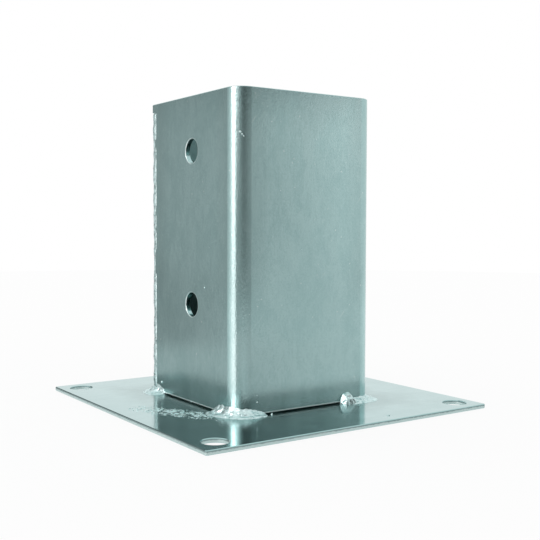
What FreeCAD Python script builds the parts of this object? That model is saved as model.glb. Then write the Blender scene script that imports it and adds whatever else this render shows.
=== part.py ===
import FreeCAD, Part
import math
import os

# A base for a square timber post: a folded sheet sleeve welded onto a square plate.
# The origin is at the centre of the plate's underside, with Z up the sleeve's axis.
# The cross-bolts run along X. All lengths are in millimetres.

# The timber post that the sleeve takes, and the play that it has on each side
post_side = 70.0
post_play = 0.5

# The sleeve: one strip of sheet with three bends, open along its fourth corner
sleeve_sheet = 2.5
sleeve_height = 140.0
bend_inner_radius = 5.0
seam_gap = 0.4
sleeve_edge_break = 0.25

# The two cross-bolts through the sleeve
cross_bolt_radius = 5.5
upper_bolt_drop = 25.0
lower_bolt_rise = 45.0

# The base plate and its four anchor holes
plate_side = 150.0
plate_thickness = 2.0
plate_corner_radius = 1.0
plate_edge_break = 0.3
anchor_hole_radius = 5.5
anchor_hole_inset = 10.0

# The sleeve stands this far above the plate, held by its four corner welds
foot_gap = 0.85

# The bead along the open corner stops short of the sleeve's top
seam_bead_crown = 0.3
seam_bare_top = 4.0

# The corner welds: legs up the sleeve and out on the plate, and runs along the flats
weld_leg = 2.8
weld_crown = 0.5
weld_root = 1.0
weld_run = 9.0
front_weld_long_run = 12.0
seam_foot_weld_run = 8.5
weld_taper = 3.0
weld_end_share = 0.45

# Sizes that follow from those above
socket_side = post_side + 2 * post_play
sleeve_side = socket_side + 2 * sleeve_sheet
sleeve_half = sleeve_side / 2
socket_half = socket_side / 2
bend_outer_radius = bend_inner_radius + sleeve_sheet
plate_half = plate_side / 2
plate_top = plate_thickness
sleeve_foot = plate_top + foot_gap
sleeve_top = sleeve_foot + sleeve_height
upper_bolt_z = sleeve_top - upper_bolt_drop
lower_bolt_z = sleeve_foot + lower_bolt_rise
anchor_hole_offset = plate_half - anchor_hole_inset
seam_bead_top = sleeve_top - seam_bare_top
seam_bead_length = seam_bead_top - sleeve_foot
seam_bead_radius = sleeve_sheet + seam_bead_crown

tiny = 1e-4
vertical = FreeCAD.Vector(0, 0, 1)
centre = FreeCAD.Vector(0, 0, 0)


def square_block(side, height, foot_z):
    """A block centred on the sleeve's axis, standing at foot_z."""
    corner = FreeCAD.Vector(-side / 2, -side / 2, foot_z)
    return Part.makeBox(side, side, height, corner)


def is_vertical(edge):
    box = edge.BoundBox
    return box.XLength < tiny and box.YLength < tiny


def is_level_at(edge, height):
    box = edge.BoundBox
    return abs(box.ZMin - height) < tiny and abs(box.ZMax - height) < tiny


def is_round(edge, radius):
    return hasattr(edge.Curve, "Radius") and abs(edge.Curve.Radius - radius) < tiny


def bent_block(side, bend_radius):
    """A block as high as the sleeve, with every upright edge bent except the seam's."""
    block = square_block(side, sleeve_height, sleeve_foot)
    bends = []
    for edge in block.Edges:
        place = edge.BoundBox.Center
        on_seam = place.x < 0 and place.y > 0
        if is_vertical(edge) and not on_seam:
            bends.append(edge)
    return block.makeFillet(bend_radius, bends)


def bolt_hole(height):
    start = FreeCAD.Vector(-sleeve_side, 0, height)
    along = FreeCAD.Vector(1, 0, 0)
    return Part.makeCylinder(cross_bolt_radius, 2 * sleeve_side, start, along)


def post_sleeve():
    """The folded sheet: the wall with bolt holes runs out to the seam corner, and the
    back wall stops short of it by the seam gap."""
    sleeve = bent_block(sleeve_side, bend_outer_radius).cut(bent_block(socket_side, bend_inner_radius))
    edge_break = min(sleeve_edge_break, sleeve_sheet / 4)
    rim = [edge for edge in sleeve.Edges if is_level_at(edge, sleeve_top)]
    sleeve = sleeve.makeChamfer(edge_break, rim)

    # The slot between the back wall's end and the wall that it meets
    slot_corner = FreeCAD.Vector(-socket_half, socket_half, sleeve_foot)
    sleeve = sleeve.cut(Part.makeBox(seam_gap, sleeve_sheet, sleeve_height, slot_corner))

    # The stretch of corner that melts into the bead
    melt_corner = FreeCAD.Vector(-sleeve_half, socket_half, sleeve_foot)
    melt_width = sleeve_sheet + seam_gap
    sleeve = sleeve.cut(Part.makeBox(melt_width, sleeve_sheet, seam_bead_length, melt_corner))

    for height in (upper_bolt_z, lower_bolt_z):
        sleeve = sleeve.cut(bolt_hole(height))
    hole_rims = [edge for edge in sleeve.Edges if is_round(edge, cross_bolt_radius)]
    return sleeve.makeChamfer(edge_break, hole_rims)


def base_plate():
    """The square plate, with eased edges and one anchor hole in each corner."""
    plate = square_block(plate_side, plate_thickness, 0)
    uprights = [edge for edge in plate.Edges if is_vertical(edge)]
    plate = plate.makeFillet(plate_corner_radius, uprights)
    for x in (-anchor_hole_offset, anchor_hole_offset):
        for y in (-anchor_hole_offset, anchor_hole_offset):
            hole_foot = FreeCAD.Vector(x, y, 0)
            plate = plate.cut(Part.makeCylinder(anchor_hole_radius, plate_thickness, hole_foot))
    edge_break = min(plate_edge_break, plate_thickness / 4)
    rims = [edge for edge in plate.Edges if is_level_at(edge, 0) or is_level_at(edge, plate_top)]
    return plate.makeChamfer(edge_break, rims)


def seam_weld(sleeve):
    """The bead down the open corner: a round rod less the sheet and the socket."""
    rod_foot = FreeCAD.Vector(-socket_half, socket_half, sleeve_foot)
    rod = Part.makeCylinder(seam_bead_radius, seam_bead_length, rod_foot)
    socket = square_block(socket_side, sleeve_height, sleeve_foot)
    return rod.cut(socket).cut(sleeve).Solids[0]


def weld_section(share, distance):
    """A fillet weld's outline against the wall at +X, in the plane y = distance.
    It fills the foot gap to the root's depth, and its legs are a share of the full ones."""
    leg = weld_leg * share
    toe = FreeCAD.Vector(sleeve_half + leg, distance, plate_top)
    shoulder = FreeCAD.Vector(sleeve_half, distance, sleeve_foot + leg)
    sheet_foot = FreeCAD.Vector(sleeve_half, distance, sleeve_foot)
    root_top = FreeCAD.Vector(sleeve_half - weld_root, distance, sleeve_foot)
    root = FreeCAD.Vector(sleeve_half - weld_root, distance, plate_top)
    face_normal = FreeCAD.Vector(shoulder.z - toe.z, 0, toe.x - shoulder.x).normalize()
    crest = (toe + shoulder) * 0.5 + face_normal * (weld_crown * share)
    face = Part.Arc(toe, crest, shoulder).toShape()
    back = Part.makePolygon([shoulder, sheet_foot, root_top, root, toe])
    return Part.Wire([face] + back.Edges)


def weld_on_flat(corner_radius, run):
    """The weld along the flat wall at +X, ending in a taper."""
    start = sleeve_half - corner_radius
    taper_start = start - (run - weld_taper)
    end = start - run
    full = Part.Face(weld_section(1, start))
    straight = full.extrude(FreeCAD.Vector(0, taper_start - start, 0))
    sections = [weld_section(1, taper_start), weld_section(weld_end_share, end)]
    taper = Part.makeLoft(sections, True, True)
    return straight.fuse(taper)


def foot_weld(corner_radius, run, other_run, turn):
    """The weld round the corner at +X +Y, turned about the sleeve's axis to its place.
    The first run is on the wall that was at +X and the other on the wall at +Y."""
    axis_offset = sleeve_half - corner_radius
    axis_foot = FreeCAD.Vector(axis_offset, axis_offset, 0)
    bend = Part.Face(weld_section(1, axis_offset)).revolve(axis_foot, vertical, 90)
    diagonal = FreeCAD.Vector(1, -1, 0)
    flat = weld_on_flat(corner_radius, run)
    other_flat = weld_on_flat(corner_radius, other_run).mirror(centre, diagonal)
    weld = flat.fuse([bend, other_flat]).removeSplitter()
    weld.rotate(centre, vertical, turn)
    return weld


plate = base_plate()
sleeve = post_sleeve()
seam = seam_weld(sleeve)
front_weld = foot_weld(bend_outer_radius, front_weld_long_run, weld_run, 180)
right_weld = foot_weld(bend_outer_radius, weld_run, weld_run, 270)
back_weld = foot_weld(bend_outer_radius, weld_run, weld_run, 0)
seam_foot_weld = foot_weld(sleeve_sheet, seam_foot_weld_run, seam_foot_weld_run, 90).cut(seam)

os.makedirs("parts", exist_ok=True)
plate.exportStep("parts/base_plate.step")
sleeve.exportStep("parts/post_sleeve.step")
seam.exportStep("parts/seam_weld.step")
front_weld.exportStep("parts/foot_weld_front.step")
right_weld.exportStep("parts/foot_weld_right.step")
back_weld.exportStep("parts/foot_weld_back.step")
seam_foot_weld.exportStep("parts/foot_weld_seam.step")
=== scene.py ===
import math
import random

import bmesh
import bpy
from mathutils import Matrix, Vector, noise


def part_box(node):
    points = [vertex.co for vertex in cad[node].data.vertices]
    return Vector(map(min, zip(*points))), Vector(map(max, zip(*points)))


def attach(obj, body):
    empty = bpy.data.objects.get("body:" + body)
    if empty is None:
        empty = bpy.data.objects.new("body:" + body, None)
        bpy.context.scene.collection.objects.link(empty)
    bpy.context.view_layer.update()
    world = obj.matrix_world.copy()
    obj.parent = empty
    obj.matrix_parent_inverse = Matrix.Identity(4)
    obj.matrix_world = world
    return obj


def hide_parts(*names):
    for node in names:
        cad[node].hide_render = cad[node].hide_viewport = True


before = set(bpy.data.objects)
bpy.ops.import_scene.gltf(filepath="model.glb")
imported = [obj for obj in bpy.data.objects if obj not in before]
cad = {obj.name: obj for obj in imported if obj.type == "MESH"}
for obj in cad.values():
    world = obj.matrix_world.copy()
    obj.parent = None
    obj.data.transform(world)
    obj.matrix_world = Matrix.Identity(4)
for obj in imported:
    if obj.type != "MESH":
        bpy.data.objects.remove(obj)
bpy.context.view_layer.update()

# Base plate
# A square of cold-rolled steel sheet, sheared to size and punched with an anchor hole in each
# corner. It is zinc plated after welding, so it is nearly a mirror, but duller on its sheared
# edges and where the welding heated and spattered it.
plate_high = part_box("base_plate")[1]
plate_top = plate_high.z
plate_half = plate_high.x
zinc_dark = (0.362, 0.545, 0.542)
zinc_pale = (0.42, 0.605, 0.602)
sheared_dark = (0.24, 0.34, 0.34)
sheared_pale = (0.50, 0.63, 0.62)
haze_white = (0.66, 0.77, 0.76)
# The colour of painted shade round the sleeve's foot and towards its bends, and the zone round the
# foot that is duller and painted darker
painted_shade_dark = (0.28, 0.40, 0.395)
heat_and_shade_full = 0.044
heat_and_shade_reach = 0.060
heat_and_shade_wander = 0.005
patch_x = -0.0535
patch_y = -0.0128
patch_width = 0.013
patch_length = 0.042
patch_lean = math.radians(30)
edge_wander = 0.0002


def add_node(tree, kind, inputs=None, **settings):
    """A shader node with its settings, and its inputs as values or as links."""
    made = tree.nodes.new(kind)
    for key, value in settings.items():
        setattr(made, key, value)
    for key, value in (inputs or {}).items():
        if isinstance(value, bpy.types.NodeSocket):
            tree.links.new(value, made.inputs[key])
        else:
            made.inputs[key].default_value = value
    return made


def place_on_part(tree, stretch=(1, 1, 1), turn=(0, 0, 0)):
    """The place on the part in metres, stretched along its axes."""
    place = add_node(tree, "ShaderNodeTexCoord").outputs["Object"]
    stretched = {"Vector": place, "Scale": stretch, "Rotation": turn}
    return add_node(tree, "ShaderNodeMapping", stretched).outputs["Vector"]


def speckle(tree, place, scale, detail=3.0, roughness=0.5, distortion=0.0):
    """Soft noise from 0 to 1 over the part."""
    values = {
        "Vector": place,
        "Scale": scale,
        "Detail": detail,
        "Roughness": roughness,
        "Distortion": distortion,
    }
    return add_node(tree, "ShaderNodeTexNoise", values).outputs["Fac"]


def spread(tree, value, low, high, new_low=0.0, new_high=1.0):
    """A value rescaled from one range to another, and held at its ends."""
    values = {
        "Value": value,
        "From Min": low,
        "From Max": high,
        "To Min": new_low,
        "To Max": new_high,
    }
    return add_node(tree, "ShaderNodeMapRange", values).outputs["Result"]


def calculate(tree, operation, first, second=0.0):
    made = add_node(tree, "ShaderNodeMath", {0: first, 1: second}, operation=operation)
    return made.outputs[0]


def blend_colours(tree, amount, first, second):
    made = add_node(tree, "ShaderNodeMix", data_type="RGBA")
    for index, value in ((0, amount), (6, first), (7, second)):
        if isinstance(value, bpy.types.NodeSocket):
            tree.links.new(value, made.inputs[index])
        elif isinstance(value, tuple):
            made.inputs[index].default_value = (*value, 1)
        else:
            made.inputs[index].default_value = value
    return made.outputs[2]


def bump(tree, height, distance, under=None):
    values = {"Height": height, "Distance": distance}
    if under is not None:
        values["Normal"] = under
    return add_node(tree, "ShaderNodeBump", values).outputs["Normal"]


def new_metal(name):
    material = bpy.data.materials.new(name)
    material.use_nodes = True
    surface = material.node_tree.nodes["Principled BSDF"]
    surface.inputs["Metallic"].default_value = 1.0
    return material, material.node_tree, surface


def connect(tree, surface, **sockets):
    for name, socket in sockets.items():
        tree.links.new(socket, surface.inputs[name.replace("_", " ")])


def patch_mask(tree, place):
    """1 inside the oval, spattered patch on the plate, fading to 0 at its rim."""
    inputs = {
        "Vector": place,
        "Location": (patch_x, patch_y, plate_top),
        "Rotation": (0, 0, patch_lean),
        "Scale": (patch_width / 2, patch_length / 2, 1),
    }
    oval = add_node(tree, "ShaderNodeMapping", inputs, vector_type="TEXTURE").outputs["Vector"]
    reach = add_node(tree, "ShaderNodeVectorMath", {0: oval}, operation="LENGTH").outputs["Value"]
    return spread(tree, reach, 1.15, 0.55)


def plate_zinc():
    material, tree, surface = new_metal("plate_zinc")
    place = place_on_part(tree)
    clouds = speckle(tree, place, 70, 5, 0.6)
    waves = speckle(tree, place, 90, 2)
    fine = speckle(tree, place, 1100, 3)
    rolled = speckle(tree, place_on_part(tree, (0.06, 1, 1)), 500, 3, 0.6)
    mixed = calculate(tree, "ADD", calculate(tree, "MULTIPLY", clouds, 0.6),
                      calculate(tree, "MULTIPLY", rolled, 0.4))
    clouded = blend_colours(tree, spread(tree, mixed, 0.38, 0.62), zinc_dark, zinc_pale)

    # The heat of welding left the sheet duller round the sleeve's foot, and its colour is painted
    # darker there as shade
    along = add_node(tree, "ShaderNodeSeparateXYZ", {"Vector": place}).outputs
    reach = calculate(tree, "MAXIMUM", calculate(tree, "ABSOLUTE", along["X"]),
                      calculate(tree, "ABSOLUTE", along["Y"]))
    ragged = spread(tree, clouds, 0.3, 0.7, -heat_and_shade_wander, heat_and_shade_wander)
    heat_dull_and_shade = spread(tree, calculate(tree, "ADD", reach, ragged), heat_and_shade_reach, heat_and_shade_full)
    foot_shaded = blend_colours(tree, calculate(tree, "MULTIPLY", heat_dull_and_shade, 0.5), clouded, painted_shade_dark)

    # The spattered patch beside the near corner's weld is hazy
    haze = patch_mask(tree, place)
    haze_spots = spread(tree, speckle(tree, place, 420, 5, 0.75), 0.5, 0.62)
    haze = calculate(tree, "MULTIPLY", haze, haze_spots)
    colour = blend_colours(tree, haze, foot_shaded, haze_white)

    # The sheared edge: burnished at the top, torn and paler below
    ragged = spread(tree, fine, 0.3, 0.7, -edge_wander, edge_wander)
    ragged = calculate(tree, "ADD", along["Z"], ragged)
    torn = spread(tree, ragged, 0.65 * plate_top, 0.55 * plate_top)
    edge_colour = blend_colours(tree, torn, sheared_dark, sheared_pale)
    normal_z = add_node(tree, "ShaderNodeNewGeometry").outputs["Normal"]
    normal_z = add_node(tree, "ShaderNodeSeparateXYZ", {"Vector": normal_z}).outputs["Z"]
    on_edge = spread(tree, calculate(tree, "ABSOLUTE", normal_z), 0.5, 0.2)
    everywhere = blend_colours(tree, on_edge, colour, edge_colour)
    smooth = spread(tree, clouds, 0.3, 0.7, 0.11, 0.16)
    dulled = calculate(tree, "MAXIMUM", calculate(tree, "MULTIPLY", haze, 0.45),
                       calculate(tree, "MULTIPLY", on_edge, 0.3))
    roughness = calculate(tree, "ADD", smooth, dulled)
    roughness = calculate(tree, "ADD", roughness, calculate(tree, "MULTIPLY", heat_dull_and_shade, 0.08))

    normal = bump(tree, waves, 0.00005)
    normal = bump(tree, calculate(tree, "MULTIPLY", clouds, heat_dull_and_shade), 0.00006, normal)
    normal = bump(tree, rolled, 0.000014, normal)
    normal = bump(tree, fine, 0.000008, normal)
    connect(tree, surface, Base_Color=everywhere, Roughness=roughness, Normal=normal)
    return material


def finish_node(node_name, material):
    mesh = cad[node_name].data
    mesh.materials.clear()
    mesh.materials.append(material)


finish_node("base_plate", plate_zinc())

# Post sleeve
# One strip of the same sheet, pressed over three bends into a square tube round the post's foot.
# The grain runs up the walls, and two pairs of holes take the cross-bolts.
sleeve_low, sleeve_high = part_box("post_sleeve")
sleeve_half = sleeve_high.x
sleeve_foot = sleeve_low.z
sleeve_top = sleeve_high.z
sheet = 0.0025
bend_radius = 0.0075
flat_end = 2 * sleeve_half - bend_radius
bend_shade_reach = 0.0105
bolt_hole_radius = 0.0055
# The width of the painted highlight round each bolt hole
hole_highlight_width = 0.0006
upper_hole_height = sleeve_top - 0.025
lower_hole_height = sleeve_foot + 0.045
# The height of the painted highlight along the sleeve's cut foot
foot_highlight_height = 0.0006
# The white of bright flecks and scratches, also used for painted highlights
fleck_and_highlight_white = (0.72, 0.82, 0.81)
# The colour of painted shade low in the socket
painted_socket_shade = (0.17, 0.26, 0.255)


def sleeve_zinc():
    material, tree, surface = new_metal("sleeve_zinc")
    place = place_on_part(tree)
    drifting = place_on_part(tree, (1, 1, 0.5), (math.radians(-30), math.radians(35), 0))
    clouds = speckle(tree, drifting, 48, 5, 0.6, 0.9)
    mottle = speckle(tree, drifting, 210, 4, 0.7, 1.2)
    grain = speckle(tree, place_on_part(tree, (1, 1, 0.04)), 1300, 4, 0.6)
    lines = speckle(tree, place_on_part(tree, (1, 1, 0.01)), 420, 2)
    fine = speckle(tree, place, 1000, 3, 0.7)
    mixed = calculate(tree, "MULTIPLY", clouds, 0.34)
    for part, share in ((mottle, 0.28), (grain, 0.08), (lines, 0.02), (fine, 0.28)):
        mixed = calculate(tree, "ADD", mixed, calculate(tree, "MULTIPLY", part, share))
    colour = blend_colours(tree, spread(tree, mixed, 0.445, 0.555), zinc_dark, zinc_pale)

    # Bright flecks and scratches, and a painted highlight along the cut foot of the sheet, where
    # its edge catches the light
    flecks = speckle(tree, place, 640, 2, 0.5)
    flecks = spread(tree, flecks, 0.735, 0.78, 0, 0.8)
    height = add_node(tree, "ShaderNodeSeparateXYZ", {"Vector": place}).outputs["Z"]
    foot_edge_highlight = spread(tree, height, sleeve_foot + foot_highlight_height, sleeve_foot + foot_highlight_height / 2, 0, 0.8)
    slant = {"Vector": place, "Rotation": (0, math.radians(40), 0), "Scale": (1, 1, 9)}
    slant = add_node(tree, "ShaderNodeMapping", slant, vector_type="TEXTURE").outputs["Vector"]
    scratches = spread(tree, speckle(tree, slant, 800, 1), 0.74, 0.86, 0, 0.4)
    marks_and_highlights = calculate(tree, "MAXIMUM", flecks, calculate(tree, "MAXIMUM", foot_edge_highlight, scratches))

    # A painted highlight round each bolt hole, where the hole's edge catches the light
    across = add_node(tree, "ShaderNodeSeparateXYZ", {"Vector": place}).outputs
    hole_rim_highlight = 0.0
    for hole_height in (upper_hole_height, lower_hole_height):
        rise = calculate(tree, "SUBTRACT", height, hole_height)
        reach = calculate(tree, "ADD", calculate(tree, "MULTIPLY", rise, rise),
                          calculate(tree, "MULTIPLY", across["Y"], across["Y"]))
        reach = calculate(tree, "SQRT", reach)
        beyond = calculate(tree, "SUBTRACT", reach, bolt_hole_radius)
        outer = spread(tree, beyond, hole_highlight_width, hole_highlight_width / 2, 0, 0.5)
        inner = spread(tree, beyond, 0.00003, 0.00008)
        hole_rim_highlight = calculate(tree, "MAXIMUM", calculate(tree, "MULTIPLY", outer, inner), hole_rim_highlight)
    marks_and_highlights = calculate(tree, "MAXIMUM", marks_and_highlights, hole_rim_highlight)
    colour = blend_colours(tree, marks_and_highlights, colour, fleck_and_highlight_white)

    # Painted shade darkens the walls towards the bends, fading in between 45 and 60 mm up. The
    # reach is the distances from the sleeve's axis along X and Y, added up, so it grows towards
    # every corner.
    reach = calculate(tree, "ADD", calculate(tree, "ABSOLUTE", across["X"]),
                      calculate(tree, "ABSOLUTE", across["Y"]))
    painted_bend_shade = spread(tree, reach, flat_end - bend_shade_reach, flat_end, 0, 0.3)
    painted_bend_shade = calculate(tree, "MULTIPLY", painted_bend_shade, spread(tree, height, 0.045, 0.06))
    colour = blend_colours(tree, painted_bend_shade, colour, painted_shade_dark)

    # The walls are duller inside the socket, where the press tool didn't touch them, and painted
    # shade darkens them lower down
    normal = add_node(tree, "ShaderNodeNewGeometry").outputs["Normal"]
    level = add_node(tree, "ShaderNodeVectorMath", {0: place, 1: (1, 1, 0)}, operation="MULTIPLY")
    facing = add_node(tree, "ShaderNodeVectorMath", {0: normal, 1: level.outputs[0]},
                      operation="DOT_PRODUCT").outputs["Value"]
    inside = spread(tree, facing, -0.02, -0.03)
    deep_socket_shade = calculate(tree, "MULTIPLY", inside, spread(tree, height, 0.115, 0.075, 0, 0.8))
    colour = blend_colours(tree, deep_socket_shade, colour, painted_socket_shade)
    roughness = spread(tree, clouds, 0.3, 0.7, 0.17, 0.23)
    dulled = calculate(tree, "MAXIMUM", inside, calculate(tree, "MAXIMUM", foot_edge_highlight, hole_rim_highlight))
    dulled = calculate(tree, "MULTIPLY", dulled, 0.35)
    roughness = calculate(tree, "ADD", roughness, dulled)
    normal = bump(tree, clouds, 0.00002)
    normal = bump(tree, mottle, 0.000009, normal)
    normal = bump(tree, grain, 0.000004, normal)
    normal = bump(tree, fine, 0.000015, normal)

    # The bends are scored by the press tool
    bent = spread(tree, reach, flat_end, flat_end + 0.002)
    scores = speckle(tree, place_on_part(tree, (1, 1, 0.35)), 1500, 2, 0.6)
    scores = calculate(tree, "SUBTRACT", scores, 0.5)
    normal = bump(tree, calculate(tree, "MULTIPLY", scores, bent), 0.00006, normal)
    connect(tree, surface, Base_Color=colour, Roughness=roughness, Normal=normal)
    return material


finish_node("post_sleeve", sleeve_zinc())

# Seam weld
# A bead of weld metal run down the open corner of the sleeve, from a few millimetres below its
# top to its foot. It is rippled and uneven, and zinc plated with the rest.
seam_low, seam_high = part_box("seam_weld")
seam_corner = Vector((-sleeve_half + sheet, sleeve_half - sheet, 0))
seam_step = 0.0003
seam_face_points = 18
seam_face_start = 206
seam_face_sweep = 142
seam_squareness = 1.16
seam_top_taper = 0.0015
seam_foot_taper = 0.002
seam_reach = 0.0011
seam_sink = 0.0001
bead_pale = (0.74, 0.92, 0.92)
bead_dark = (0.46, 0.63, 0.63)


def weld_zinc():
    material, tree, surface = new_metal("weld_zinc")
    place = place_on_part(tree)
    patches = speckle(tree, place, 500, 4, 0.6)
    fine = speckle(tree, place, 2600, 3)
    colour = blend_colours(tree, spread(tree, patches, 0.35, 0.65), bead_dark, bead_pale)
    roughness = spread(tree, patches, 0.35, 0.65, 0.22, 0.5)
    normal = bump(tree, patches, 0.00022)
    normal = bump(tree, fine, 0.00003, normal)
    connect(tree, surface, Base_Color=colour, Roughness=roughness, Normal=normal)
    return material


def lumpiness(place, size, seed=0.0):
    """Smooth noise from about -1 to 1, with lumps of that size."""
    return noise.noise(place / size + Vector((seed, 3.7 * seed, -1.3 * seed)))


def creases(place, size, seed=0.0):
    """Noise from 0 to 1 that folds into sharp ridges, like crumpled foil."""
    return 1 - 2 * abs(lumpiness(place, size, seed))


def skin(name, rings, material, node_names=()):
    """A closed body through rings of points, each end capped, riding on the part."""
    shape = bmesh.new()
    made = [[shape.verts.new(point) for point in ring] for ring in rings]
    count = len(rings[0])
    for first, second in zip(made, made[1:]):
        for k in range(count):
            after = (k + 1) % count
            shape.faces.new((first[k], first[after], second[after], second[k]))
    shape.faces.new(list(reversed(made[0])))
    shape.faces.new(made[-1])
    bmesh.ops.recalc_face_normals(shape, faces=shape.faces)
    for face in shape.faces:
        face.smooth = True
    return finish_piece(name, shape, material, node_names)


def finish_piece(name, shape, material, node_names=()):
    mesh = bpy.data.meshes.new(name)
    shape.to_mesh(mesh)
    shape.free()
    mesh.materials.append(material)
    piece = bpy.data.objects.new(name, mesh)
    bpy.context.scene.collection.objects.link(piece)
    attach(piece, "root")
    if node_names:
        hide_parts(*node_names)
    return piece


def seam_ring(height):
    """The bead's outline at one height: its face round the corner, then back inside the sheet."""
    ring = []
    top_share = (seam_high.z - height) / seam_top_taper
    foot_share = 0.3 + (height - seam_low.z) / seam_foot_taper
    end_share = min(1, top_share, foot_share)
    for k in range(seam_face_points):
        share = k / (seam_face_points - 1)
        turn = math.radians(seam_face_start - share * seam_face_sweep)
        out = Vector((math.cos(turn), math.sin(turn), 0))
        square = 1 / max(abs(out.x), abs(out.y))
        face = seam_corner + out * (sheet * min(square, seam_squareness))
        face.z = height
        crown = math.sin(math.pi * share) ** 0.6
        swell = 0.00025 + 0.0006 * lumpiness(face, 0.0075, 2.1)
        swell += 0.00022 * lumpiness(face, 0.0024, 5.2)
        swell += 0.00005 * math.sin(2 * math.pi * (height / 0.0014 + 0.5 * crown))
        ring.append(face + out * (end_share * crown * swell - 0.00004))
    ring.append(seam_corner + Vector((seam_reach, sheet - seam_sink, height)))
    ring.append(seam_corner + Vector((5 * seam_sink, seam_sink, height)))
    ring.append(seam_corner + Vector((0.0, seam_sink, height)))
    ring.append(seam_corner + Vector((seam_sink - sheet, -seam_reach, height)))
    return ring


seam_heights = []
height = seam_low.z
while height < seam_high.z:
    seam_heights.append(height)
    height += seam_step
seam_heights.append(seam_high.z)
weld_metal = weld_zinc()
skin("seam_bead", [seam_ring(z) for z in seam_heights], weld_metal, ["seam_weld"])

# Foot welds
# Fillet welds that hold the sleeve a little above the plate, one round each corner. Each is laid
# by hand, so its legs wander, its face is hollow and lumpy, and a run may start in a blob.
root = 0.001
station_step = 0.00025
face_points = 20
weld_end_length = 0.0022
weld_sink = 0.0001
toe_swell = 0.00025
ripple_pitch = 0.0016
ripple_height = 0.00003


def weld_stations(corner_radius, first_run, second_run):
    """Points along the sleeve's foot round its +X +Y corner, from one end of the weld to the
    other. Each has the way out from the wall, its distance from the bend's middle, and its
    distance from the nearer end."""
    axis = sleeve_half - corner_radius
    bend_length = corner_radius * math.pi / 2
    length = first_run + bend_length + second_run
    stations = []
    count = round(length / station_step)
    for k in range(count + 1):
        along = k * length / count
        from_middle = along - first_run - bend_length / 2
        if along < first_run:
            out = Vector((1, 0, 0))
            at = Vector((sleeve_half, axis - (first_run - along), 0))
        elif along < first_run + bend_length:
            angle = (along - first_run) / corner_radius
            out = Vector((math.cos(angle), math.sin(angle), 0))
            at = Vector((axis, axis, 0)) + corner_radius * out
        else:
            out = Vector((0, 1, 0))
            at = Vector((axis - (along - first_run - bend_length), sleeve_half, 0))
        stations.append((at, out, from_middle, min(along, length - along)))
    return stations


def hump(value, middle, width):
    """1 at the middle, falling smoothly to 0 a few widths away."""
    return math.exp(-((value - middle) / width) ** 2)


def graded(along, *marks_and_highlights):
    """A size that changes evenly from one mark to the next, in millimetres, both ways."""
    along *= 1000
    if along <= marks_and_highlights[0][0]:
        return marks_and_highlights[0][1] / 1000
    for (start, first), (end, last) in zip(marks_and_highlights, marks_and_highlights[1:]):
        if along <= end:
            return (first + (last - first) * (along - start) / (end - start)) / 1000
    return marks_and_highlights[-1][1] / 1000


def foot_weld(name, node_name, turn, corner_radius, runs, seed, shape_at):
    """shape_at gives, at a distance from the bend's middle, the leg out along the plate, the
    height up the wall, the power of the face's curve (hollow above 1) and how lumpy it is."""
    spin = Matrix.Rotation(math.radians(turn), 3, "Z")
    rings = []
    for at, out, along, from_end in weld_stations(corner_radius, *runs):
        leg_out, rise, power, rough = shape_at(along)
        end = min(1, max(0, from_end) / weld_end_length)
        end = math.sqrt(1 - (1 - end) ** 2) * 0.97 + 0.03
        middle = spin @ at
        wander = 1 + 0.2 * lumpiness(middle, 0.0035, seed)
        wander += 0.14 * lumpiness(middle, 0.0012, seed + 1)
        climb = 1 + 0.2 * lumpiness(middle, 0.003, seed + 2)
        climb += 0.12 * lumpiness(middle, 0.0011, seed + 3)
        leg_out *= end * wander
        rise *= end * climb
        face_out = Vector((rise, leg_out)).normalized()
        top = plate_top + rise
        profile = [Vector((leg_out + weld_sink, plate_top - 2 * weld_sink))]
        for k in range(face_points):
            share = k / (face_points - 1)
            flat = Vector((leg_out * (1 - share) ** power, plate_top + rise * share ** power))
            place = spin @ (at + out * flat.x) + Vector((0, 0, flat.y))
            belly = math.sin(math.pi * share)
            ripple = math.sin(2 * math.pi * (along / ripple_pitch + 0.9 * belly))
            swell = toe_swell * hump(share, 0.16, 0.1) + ripple_height * ripple * belly
            pulled = Vector((0.6 * along, 0.004 * share, 0))
            swell += rough * belly ** 0.5 * (
                0.0003 * lumpiness(place, 0.0021, seed + 4)
                + 0.0004 * (creases(pulled, 0.0016, seed + 5) - 0.5)
                + 0.0002 * (creases(pulled, 0.0008, seed + 6) - 0.5)
            )
            profile.append(flat + face_out * (swell * end))
        profile.append(Vector((-1.5 * weld_sink, top + weld_sink)))
        profile.append(Vector((-root, min(sleeve_foot + weld_sink, top))))
        profile.append(Vector((-root, plate_top - 2 * weld_sink)))
        rings.append([spin @ (at + out * p.x) + Vector((0, 0, p.y)) for p in profile])
    return skin(name, rings, weld_metal, [node_name])


def front_shape(along):
    """Wide and lumpy along the bolt wall, narrower and smoother along the plain one."""
    leg_out = graded(along, (-18, 4.5), (-12, 5.8), (-6, 4.8), (0, 3.2),
                     (6, 3.3), (11, 3.2), (15, 2))
    rise = graded(along, (-18, 1.3), (-12, 3.6), (-5, 4.5), (0, 4.2),
                  (6, 3.5), (10, 2.2), (14, 0.8))
    left = min(1, max(0, (0.004 - along) / 0.004))
    return leg_out, rise, 1.15 + 0.35 * left, 0.65 + 0.45 * left


blob_place = -0.0143
blob_radius = 0.0036


def right_shape(along):
    """A round blob where the run along the plain wall starts, and a low, broad bead after it."""
    blob = math.sqrt(max(0, 1 - ((along - blob_place) / blob_radius) ** 2))
    leg_out = graded(along, (-18, 3.2), (-14, 3.6), (-9, 4.6), (0, 5.6),
                     (4, 5.2), (9, 3.0), (15, 2.5))
    rise = graded(along, (-18, 1.5), (-12, 1.5), (-8, 2.2), (5, 2.2), (13, 1.3))
    return leg_out, rise + 0.0034 * blob, 1.4 - 0.75 * blob, 0.9 + 0.8 * blob


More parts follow.
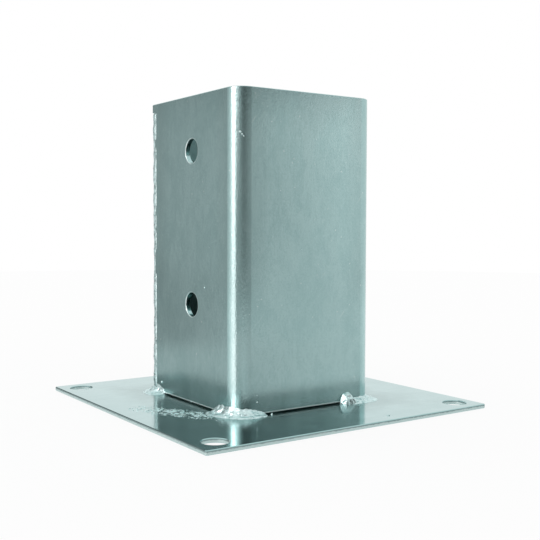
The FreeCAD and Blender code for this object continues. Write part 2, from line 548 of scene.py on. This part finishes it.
def back_shape(along):
    """An even bead with a small swelling."""
    blob = hump(along, 0.012, 0.0024)
    return 0.0032 + 0.001 * blob, 0.0034 + 0.0012 * blob, 1.3 - 0.5 * blob, 0.9


def seam_foot_shape(along):
    """A broad, hollow puddle round the sharp corner under the seam."""
    leg_out = graded(along, (-10, 3.5), (0, 6.0), (5, 7.0), (9, 5.0), (13, 2.5))
    rise = graded(along, (-10, 3.5), (0, 4.7), (4, 4.4), (9, 2.8), (13, 1.0))
    return leg_out, rise, 1.7, 1.4


front_runs = (0.012, 0.008)
right_runs = (0.0118, 0.009)
back_runs = (0.009, 0.009)
seam_foot_runs = (0.0085, 0.0095)
foot_weld("foot_bead_front", "foot_weld_front", 180, bend_radius, front_runs, 11.3, front_shape)
foot_weld("foot_bead_right", "foot_weld_right", 270, bend_radius, right_runs, 23.9, right_shape)
foot_weld("foot_bead_back", "foot_weld_back", 0, bend_radius, back_runs, 37.2, back_shape)
foot_weld("foot_bead_seam", "foot_weld_seam", 90, sheet, seam_foot_runs, 41.6, seam_foot_shape)

# Spatter
# Droplets thrown off by the welding, that stuck to the sheets before they were plated: a few
# round ones, and a crust of small flat ones on the plate beside the near corner's weld.
drops = random.Random(5)
drop_sides = 8
drop_tilts = (-0.5, 0.15, 0.6, 1.05)
drop_depth = 0.6
speck_radius = 0.00024


def droplet(shape, place, outward, radius, flatness=0.75):
    """One droplet on a surface, a slightly uneven dome whose underside is sunk into the sheet."""
    outward = Vector(outward).normalized()
    side = outward.orthogonal().normalized()
    other = outward.cross(side)
    phase = drops.uniform(0, 6.28)
    stretch = drops.uniform(0.75, 1.3)
    rows = []
    for tilt in drop_tilts:
        ring = []
        lift = radius * flatness * math.sin(tilt)
        for k in range(drop_sides):
            turn = 2 * math.pi * k / drop_sides
            uneven = 1 + 0.18 * math.sin(2 * turn + phase) + drops.uniform(-0.07, 0.07)
            reach = radius * math.cos(tilt) * uneven
            at = side * (reach * stretch * math.cos(turn))
            at += other * (reach / stretch * math.sin(turn))
            ring.append(shape.verts.new(Vector(place) + at + outward * lift))
        rows.append(ring)
    tip = shape.verts.new(Vector(place) + outward * (radius * flatness))
    base = shape.verts.new(Vector(place) - outward * (radius * flatness * drop_depth))
    for lower, upper in zip(rows, rows[1:]):
        for k in range(drop_sides):
            after = (k + 1) % drop_sides
            shape.faces.new((lower[k], lower[after], upper[after], upper[k]))
    for k in range(drop_sides):
        after = (k + 1) % drop_sides
        shape.faces.new((rows[-1][k], rows[-1][after], tip))
        shape.faces.new((rows[0][after], rows[0][k], base))


def finish_drops(name, shape):
    bmesh.ops.recalc_face_normals(shape, faces=shape.faces)
    for face in shape.faces:
        face.smooth = True
    finish_piece(name, shape, weld_metal)


to_left, to_front, upward = (-1, 0, 0), (0, -1, 0), (0, 0, 1)
beads = bmesh.new()
droplet(beads, (-sleeve_half, 0.0292, 0.0076), to_left, 0.0006)
droplet(beads, (-sleeve_half, 0.0007, 0.0029), to_left, 0.00035)
droplet(beads, (-0.0205, -0.0392, plate_top), upward, 0.0008, 1.0)
droplet(beads, (-0.0275, -sleeve_half, 0.0110), to_front, 0.0003)
droplet(beads, (-0.0274, -sleeve_half, 0.0080), to_front, 0.00036)
droplet(beads, (-sleeve_half, -0.0116, 0.0563), to_left, 0.0004)
droplet(beads, (0.0209, -0.0682, plate_top), upward, 0.0006)


def near_bend_droplet(bearing, z, radius):
    out = Vector((math.cos(math.radians(bearing)), math.sin(math.radians(bearing)), 0))
    bend_middle = Vector((bend_radius - sleeve_half, bend_radius - sleeve_half, z))
    droplet(beads, bend_middle + bend_radius * out, out, radius, 0.5)


# A torn spot high on the near bend, then four specks on the plain wall
near_bend_droplet(232, 0.1236, 0.00055)
near_bend_droplet(238, 0.1226, 0.0004)
near_bend_droplet(243, 0.1218, 0.0003)
droplet(beads, (0.0043, -sleeve_half, 0.1223), to_front, speck_radius)
droplet(beads, (-0.0154, -sleeve_half, 0.0992), to_front, speck_radius)
droplet(beads, (0.0234, -sleeve_half, 0.1166), to_front, speck_radius)
droplet(beads, (-0.0038, -sleeve_half, 0.0735), to_front, speck_radius)
finish_drops("spatter_beads", beads)

crust = bmesh.new()
crust_tries = 1700
crust_half_length = 0.023
crust_half_width = 0.007
crust_length_spread = 0.0105
crust_width_spread = 0.0034
crust_smallest = 0.00012
crust_largest = 0.00038
crust_middle = Vector((patch_x, patch_y, plate_top))
crust_long = Vector((-math.sin(patch_lean), math.cos(patch_lean), 0))
crust_wide = Vector((math.cos(patch_lean), math.sin(patch_lean), 0))
for k in range(crust_tries):
    along = drops.gauss(0, crust_length_spread)
    across = drops.gauss(0, crust_width_spread)
    radius = drops.uniform(crust_smallest, crust_largest)
    place = crust_middle + along * crust_long + across * crust_wide
    thick = lumpiness(place, 0.0032, 6.6) + 0.6 * lumpiness(place, 0.0012, 8.1) > 0
    if thick and abs(along) < crust_half_length and abs(across) < crust_half_width:
        droplet(crust, place, upward, radius, 0.5)
finish_drops("spatter_crust", crust)

# Table
# A round, white table top that the part stands on. It isn't part of the object.
table_radius = 1.2
table_sides = 128
white_share = 0.85


def table_paint():
    """White as it is seen and as the metal shows it, with a share left for the part's shadow."""
    material = bpy.data.materials.new("table_paint")
    material.use_nodes = True
    tree = material.node_tree
    tree.nodes.clear()
    rays = add_node(tree, "ShaderNodeLightPath").outputs
    seen = calculate(tree, "MAXIMUM", rays["Is Camera Ray"], rays["Is Glossy Ray"])
    seen = calculate(tree, "MAXIMUM", seen, rays["Is Transmission Ray"])
    matt = add_node(tree, "ShaderNodeBsdfDiffuse", {"Color": (0.9, 0.9, 0.9, 1)})
    white = add_node(tree, "ShaderNodeEmission", {"Strength": 1.0})
    share = calculate(tree, "MULTIPLY", seen, white_share)
    shaders = {0: share, 1: matt.outputs[0], 2: white.outputs[0]}
    paint = add_node(tree, "ShaderNodeMixShader", shaders)
    add_node(tree, "ShaderNodeOutputMaterial", {"Surface": paint.outputs[0]})
    return material


disc = bmesh.new()
bmesh.ops.create_circle(disc, cap_ends=True, segments=table_sides, radius=table_radius)
table_mesh = bpy.data.meshes.new("table")
disc.to_mesh(table_mesh)
disc.free()
table = bpy.data.objects.new("table", table_mesh)
table.data.materials.append(table_paint())
bpy.context.scene.collection.objects.link(table)

# Studio
# A white room, with a tall soft lamp at the left and curved grey cards that the metal reflects.
# The cards stand outside the picture and aren't seen directly.
world = bpy.data.worlds.new("studio")
bpy.context.scene.world = world
world.use_nodes = True
world.node_tree.nodes["Background"].inputs["Color"].default_value = (1, 1, 1, 1)
world.node_tree.nodes["Background"].inputs["Strength"].default_value = 1.0

card_distance = 8.0
card_low = -6.0
card_crest = 0.85
card_step = 1.4
card_high = 6.0
card_columns = 24
lying_height = 0.0005
lying_gap = 0.004
plain_white = (1.0, 1.0, 1.0)
lamp_white = (1.0, 0.86, 0.86)


def stage_card(name, first_bearing, last_bearing, first_light, last_light, near_edge, far_edge,
               middle=(0, 0, 0)):
    """A grey card between two bearings, in degrees anticlockwise from +X, that is evenly graded
    in brightness and isn't seen directly. Each edge gives a distance and a height at a bearing.
    A card as bright as a lamp has the lamp's tint."""
    shape = bmesh.new()
    along = shape.loops.layers.uv.new("along")
    columns = []
    for k in range(card_columns + 1):
        bearing = math.radians(first_bearing + (last_bearing - first_bearing) * k / card_columns)
        out = Vector((math.cos(bearing), math.sin(bearing), 0))
        edges = near_edge(out), far_edge(out)
        columns.append([
            shape.verts.new(Vector(middle) + out * reach + Vector((0, 0, z))) for reach, z in edges
        ])
    for k in range(card_columns):
        (low, high), (next_low, next_high) = columns[k], columns[k + 1]
        face = shape.faces.new((low, next_low, next_high, high))
        for loop in face.loops:
            index = k if loop.vert in columns[k] else k + 1
            loop[along].uv = (index / card_columns, 0)
    mesh = bpy.data.meshes.new(name)
    shape.to_mesh(mesh)
    shape.free()
    material = bpy.data.materials.new(name)
    material.use_nodes = True
    tree = material.node_tree
    tree.nodes.clear()
    along = add_node(tree, "ShaderNodeUVMap", uv_map="along").outputs["UV"]
    along = add_node(tree, "ShaderNodeSeparateXYZ", {"Vector": along}).outputs["X"]
    light = spread(tree, along, 0, 1, first_light, last_light)
    tint = blend_colours(tree, spread(tree, light, 1.0, 1.8), plain_white, lamp_white)
    glow = add_node(tree, "ShaderNodeEmission", {"Color": tint, "Strength": light})
    add_node(tree, "ShaderNodeOutputMaterial", {"Surface": glow.outputs[0]})
    mesh.materials.append(material)
    made = bpy.data.objects.new(name, mesh)
    bpy.context.scene.collection.objects.link(made)
    made.visible_camera = False
    made.visible_diffuse = False
    made.visible_shadow = False


def standing_card(name, first_bearing, last_bearing, first_light, last_light, first_share=0.55,
                  last_share=None, crest_share=1.0):
    """A card round the part, from below the table to well above it, in three bands. The middle
    band's light is crest_share of the lowest's. The top band's is a share too, which goes evenly
    from first_share at the first bearing to last_share at the last."""
    last_share = first_share if last_share is None else last_share
    stage_card(name, first_bearing, last_bearing, first_light, last_light,
               lambda out: (card_distance, card_low), lambda out: (card_distance, card_crest))
    stage_card(name + "_crest", first_bearing, last_bearing,
               crest_share * first_light, crest_share * last_light,
               lambda out: (card_distance, card_crest), lambda out: (card_distance, card_step))
    stage_card(name + "_top", first_bearing, last_bearing,
               first_share * first_light, last_share * last_light,
               lambda out: (card_distance, card_step), lambda out: (card_distance, card_high))


def past_plate(out):
    """The distance from the near bend, in a direction, at which the table shows past the plate."""
    edge = plate_half + lying_gap
    return min((edge + math.copysign(sleeve_half, way)) / abs(way) for way in (out.x, out.y))


def lying_card(name, first_bearing, last_bearing, first_light, last_light,
               nearest=0, furthest=1.3):
    """A card on the table, from the plate's edge outwards, with bearings from the near bend."""
    stage_card(name, first_bearing, last_bearing, first_light, last_light,
               lambda out: (max(nearest, past_plate(out)), lying_height),
               lambda out: (furthest, lying_height),
               (-sleeve_half, -sleeve_half, 0))


standing_card("left_card", 90, 121.5, 0.44, 0.46, 0.5)
standing_card("lamp_edge", 121.5, 167, 0.50, 1.35, 0.6, 0.8)
standing_card("lamp", 167, 194, 2.8, 2.8, 2.3)
standing_card("lamp_side", 194, 228, 0.5, 0.40, 7.0, 1.0)
standing_card("near_card", 228, 249, 0.40, 0.26, 0.8, 0.3)
standing_card("near_right_card", 249, 266, 0.26, 0.31, 0.2, 0.2, 1.3)
standing_card("right_card", 266, 282, 0.31, 0.42, 0.2, 0.2, 1.3)
standing_card("far_right_card", 282, 303, 0.40, 0.50, 0.2, 0.2, 1.3)
standing_card("right_edge", 303, 306, 0.44, 0.60, 0.2, 0.2, 1.5)
standing_card("right_far_edge", 306, 316, 0.62, 1.3, 0.25, 0.25, 1.5)
lying_card("left_table_card", 75, 122, 0.60, 0.60, 0, 0.24)
lying_card("left_far_card", 75, 122, 0.38, 0.38, 0.24)
lying_card("lamp_table_edge", 122, 165, 0.60, 1.5)
lying_card("lamp_table_card", 165, 196, 1.9, 1.9)
lying_card("near_table_card", 196, 250, 0.55, 0.72, 0, 0.52)
lying_card("near_far_card", 196, 250, 0.50, 0.45, 0.52)
lying_card("near_right_table_card", 250, 300, 0.74, 0.58, 0, 0.52)
lying_card("near_right_far_card", 250, 300, 0.42, 0.46, 0.52)
lying_card("right_table_card", 300, 345, 0.55, 0.9, 0, 0.22)
lying_card("right_far_card", 300, 345, 0.66, 0.98, 0.22)

# Camera
# It stands a little above the plate, looking at the near bend, as the photograph does.
camera_place = Vector((-0.23452, -0.34374, 0.08467))
camera_turn = math.radians(34.03)
camera_dip = math.radians(-2.53)
camera_roll = math.radians(0.1)
ahead = Vector((
    math.sin(camera_turn) * math.cos(camera_dip),
    math.cos(camera_turn) * math.cos(camera_dip),
    math.sin(camera_dip),
))
level_right = Vector((math.cos(camera_turn), -math.sin(camera_turn), 0))
level_up = level_right.cross(ahead)
right = math.cos(camera_roll) * level_right + math.sin(camera_roll) * level_up
up = right.cross(ahead)
camera_data = bpy.data.cameras.new("camera")
camera_data.lens = 57.64
camera_data.sensor_width = 36
camera_data.shift_x = 0.0257
camera_data.shift_y = -0.0142
camera_data.clip_start = 0.01
camera = bpy.data.objects.new("camera", camera_data)
bpy.context.scene.collection.objects.link(camera)
axes = Matrix((right, up, -ahead)).transposed().to_4x4()
camera.matrix_world = Matrix.Translation(camera_place) @ axes
bpy.context.scene.camera = camera

bpy.context.scene.view_settings.view_transform = "Standard"
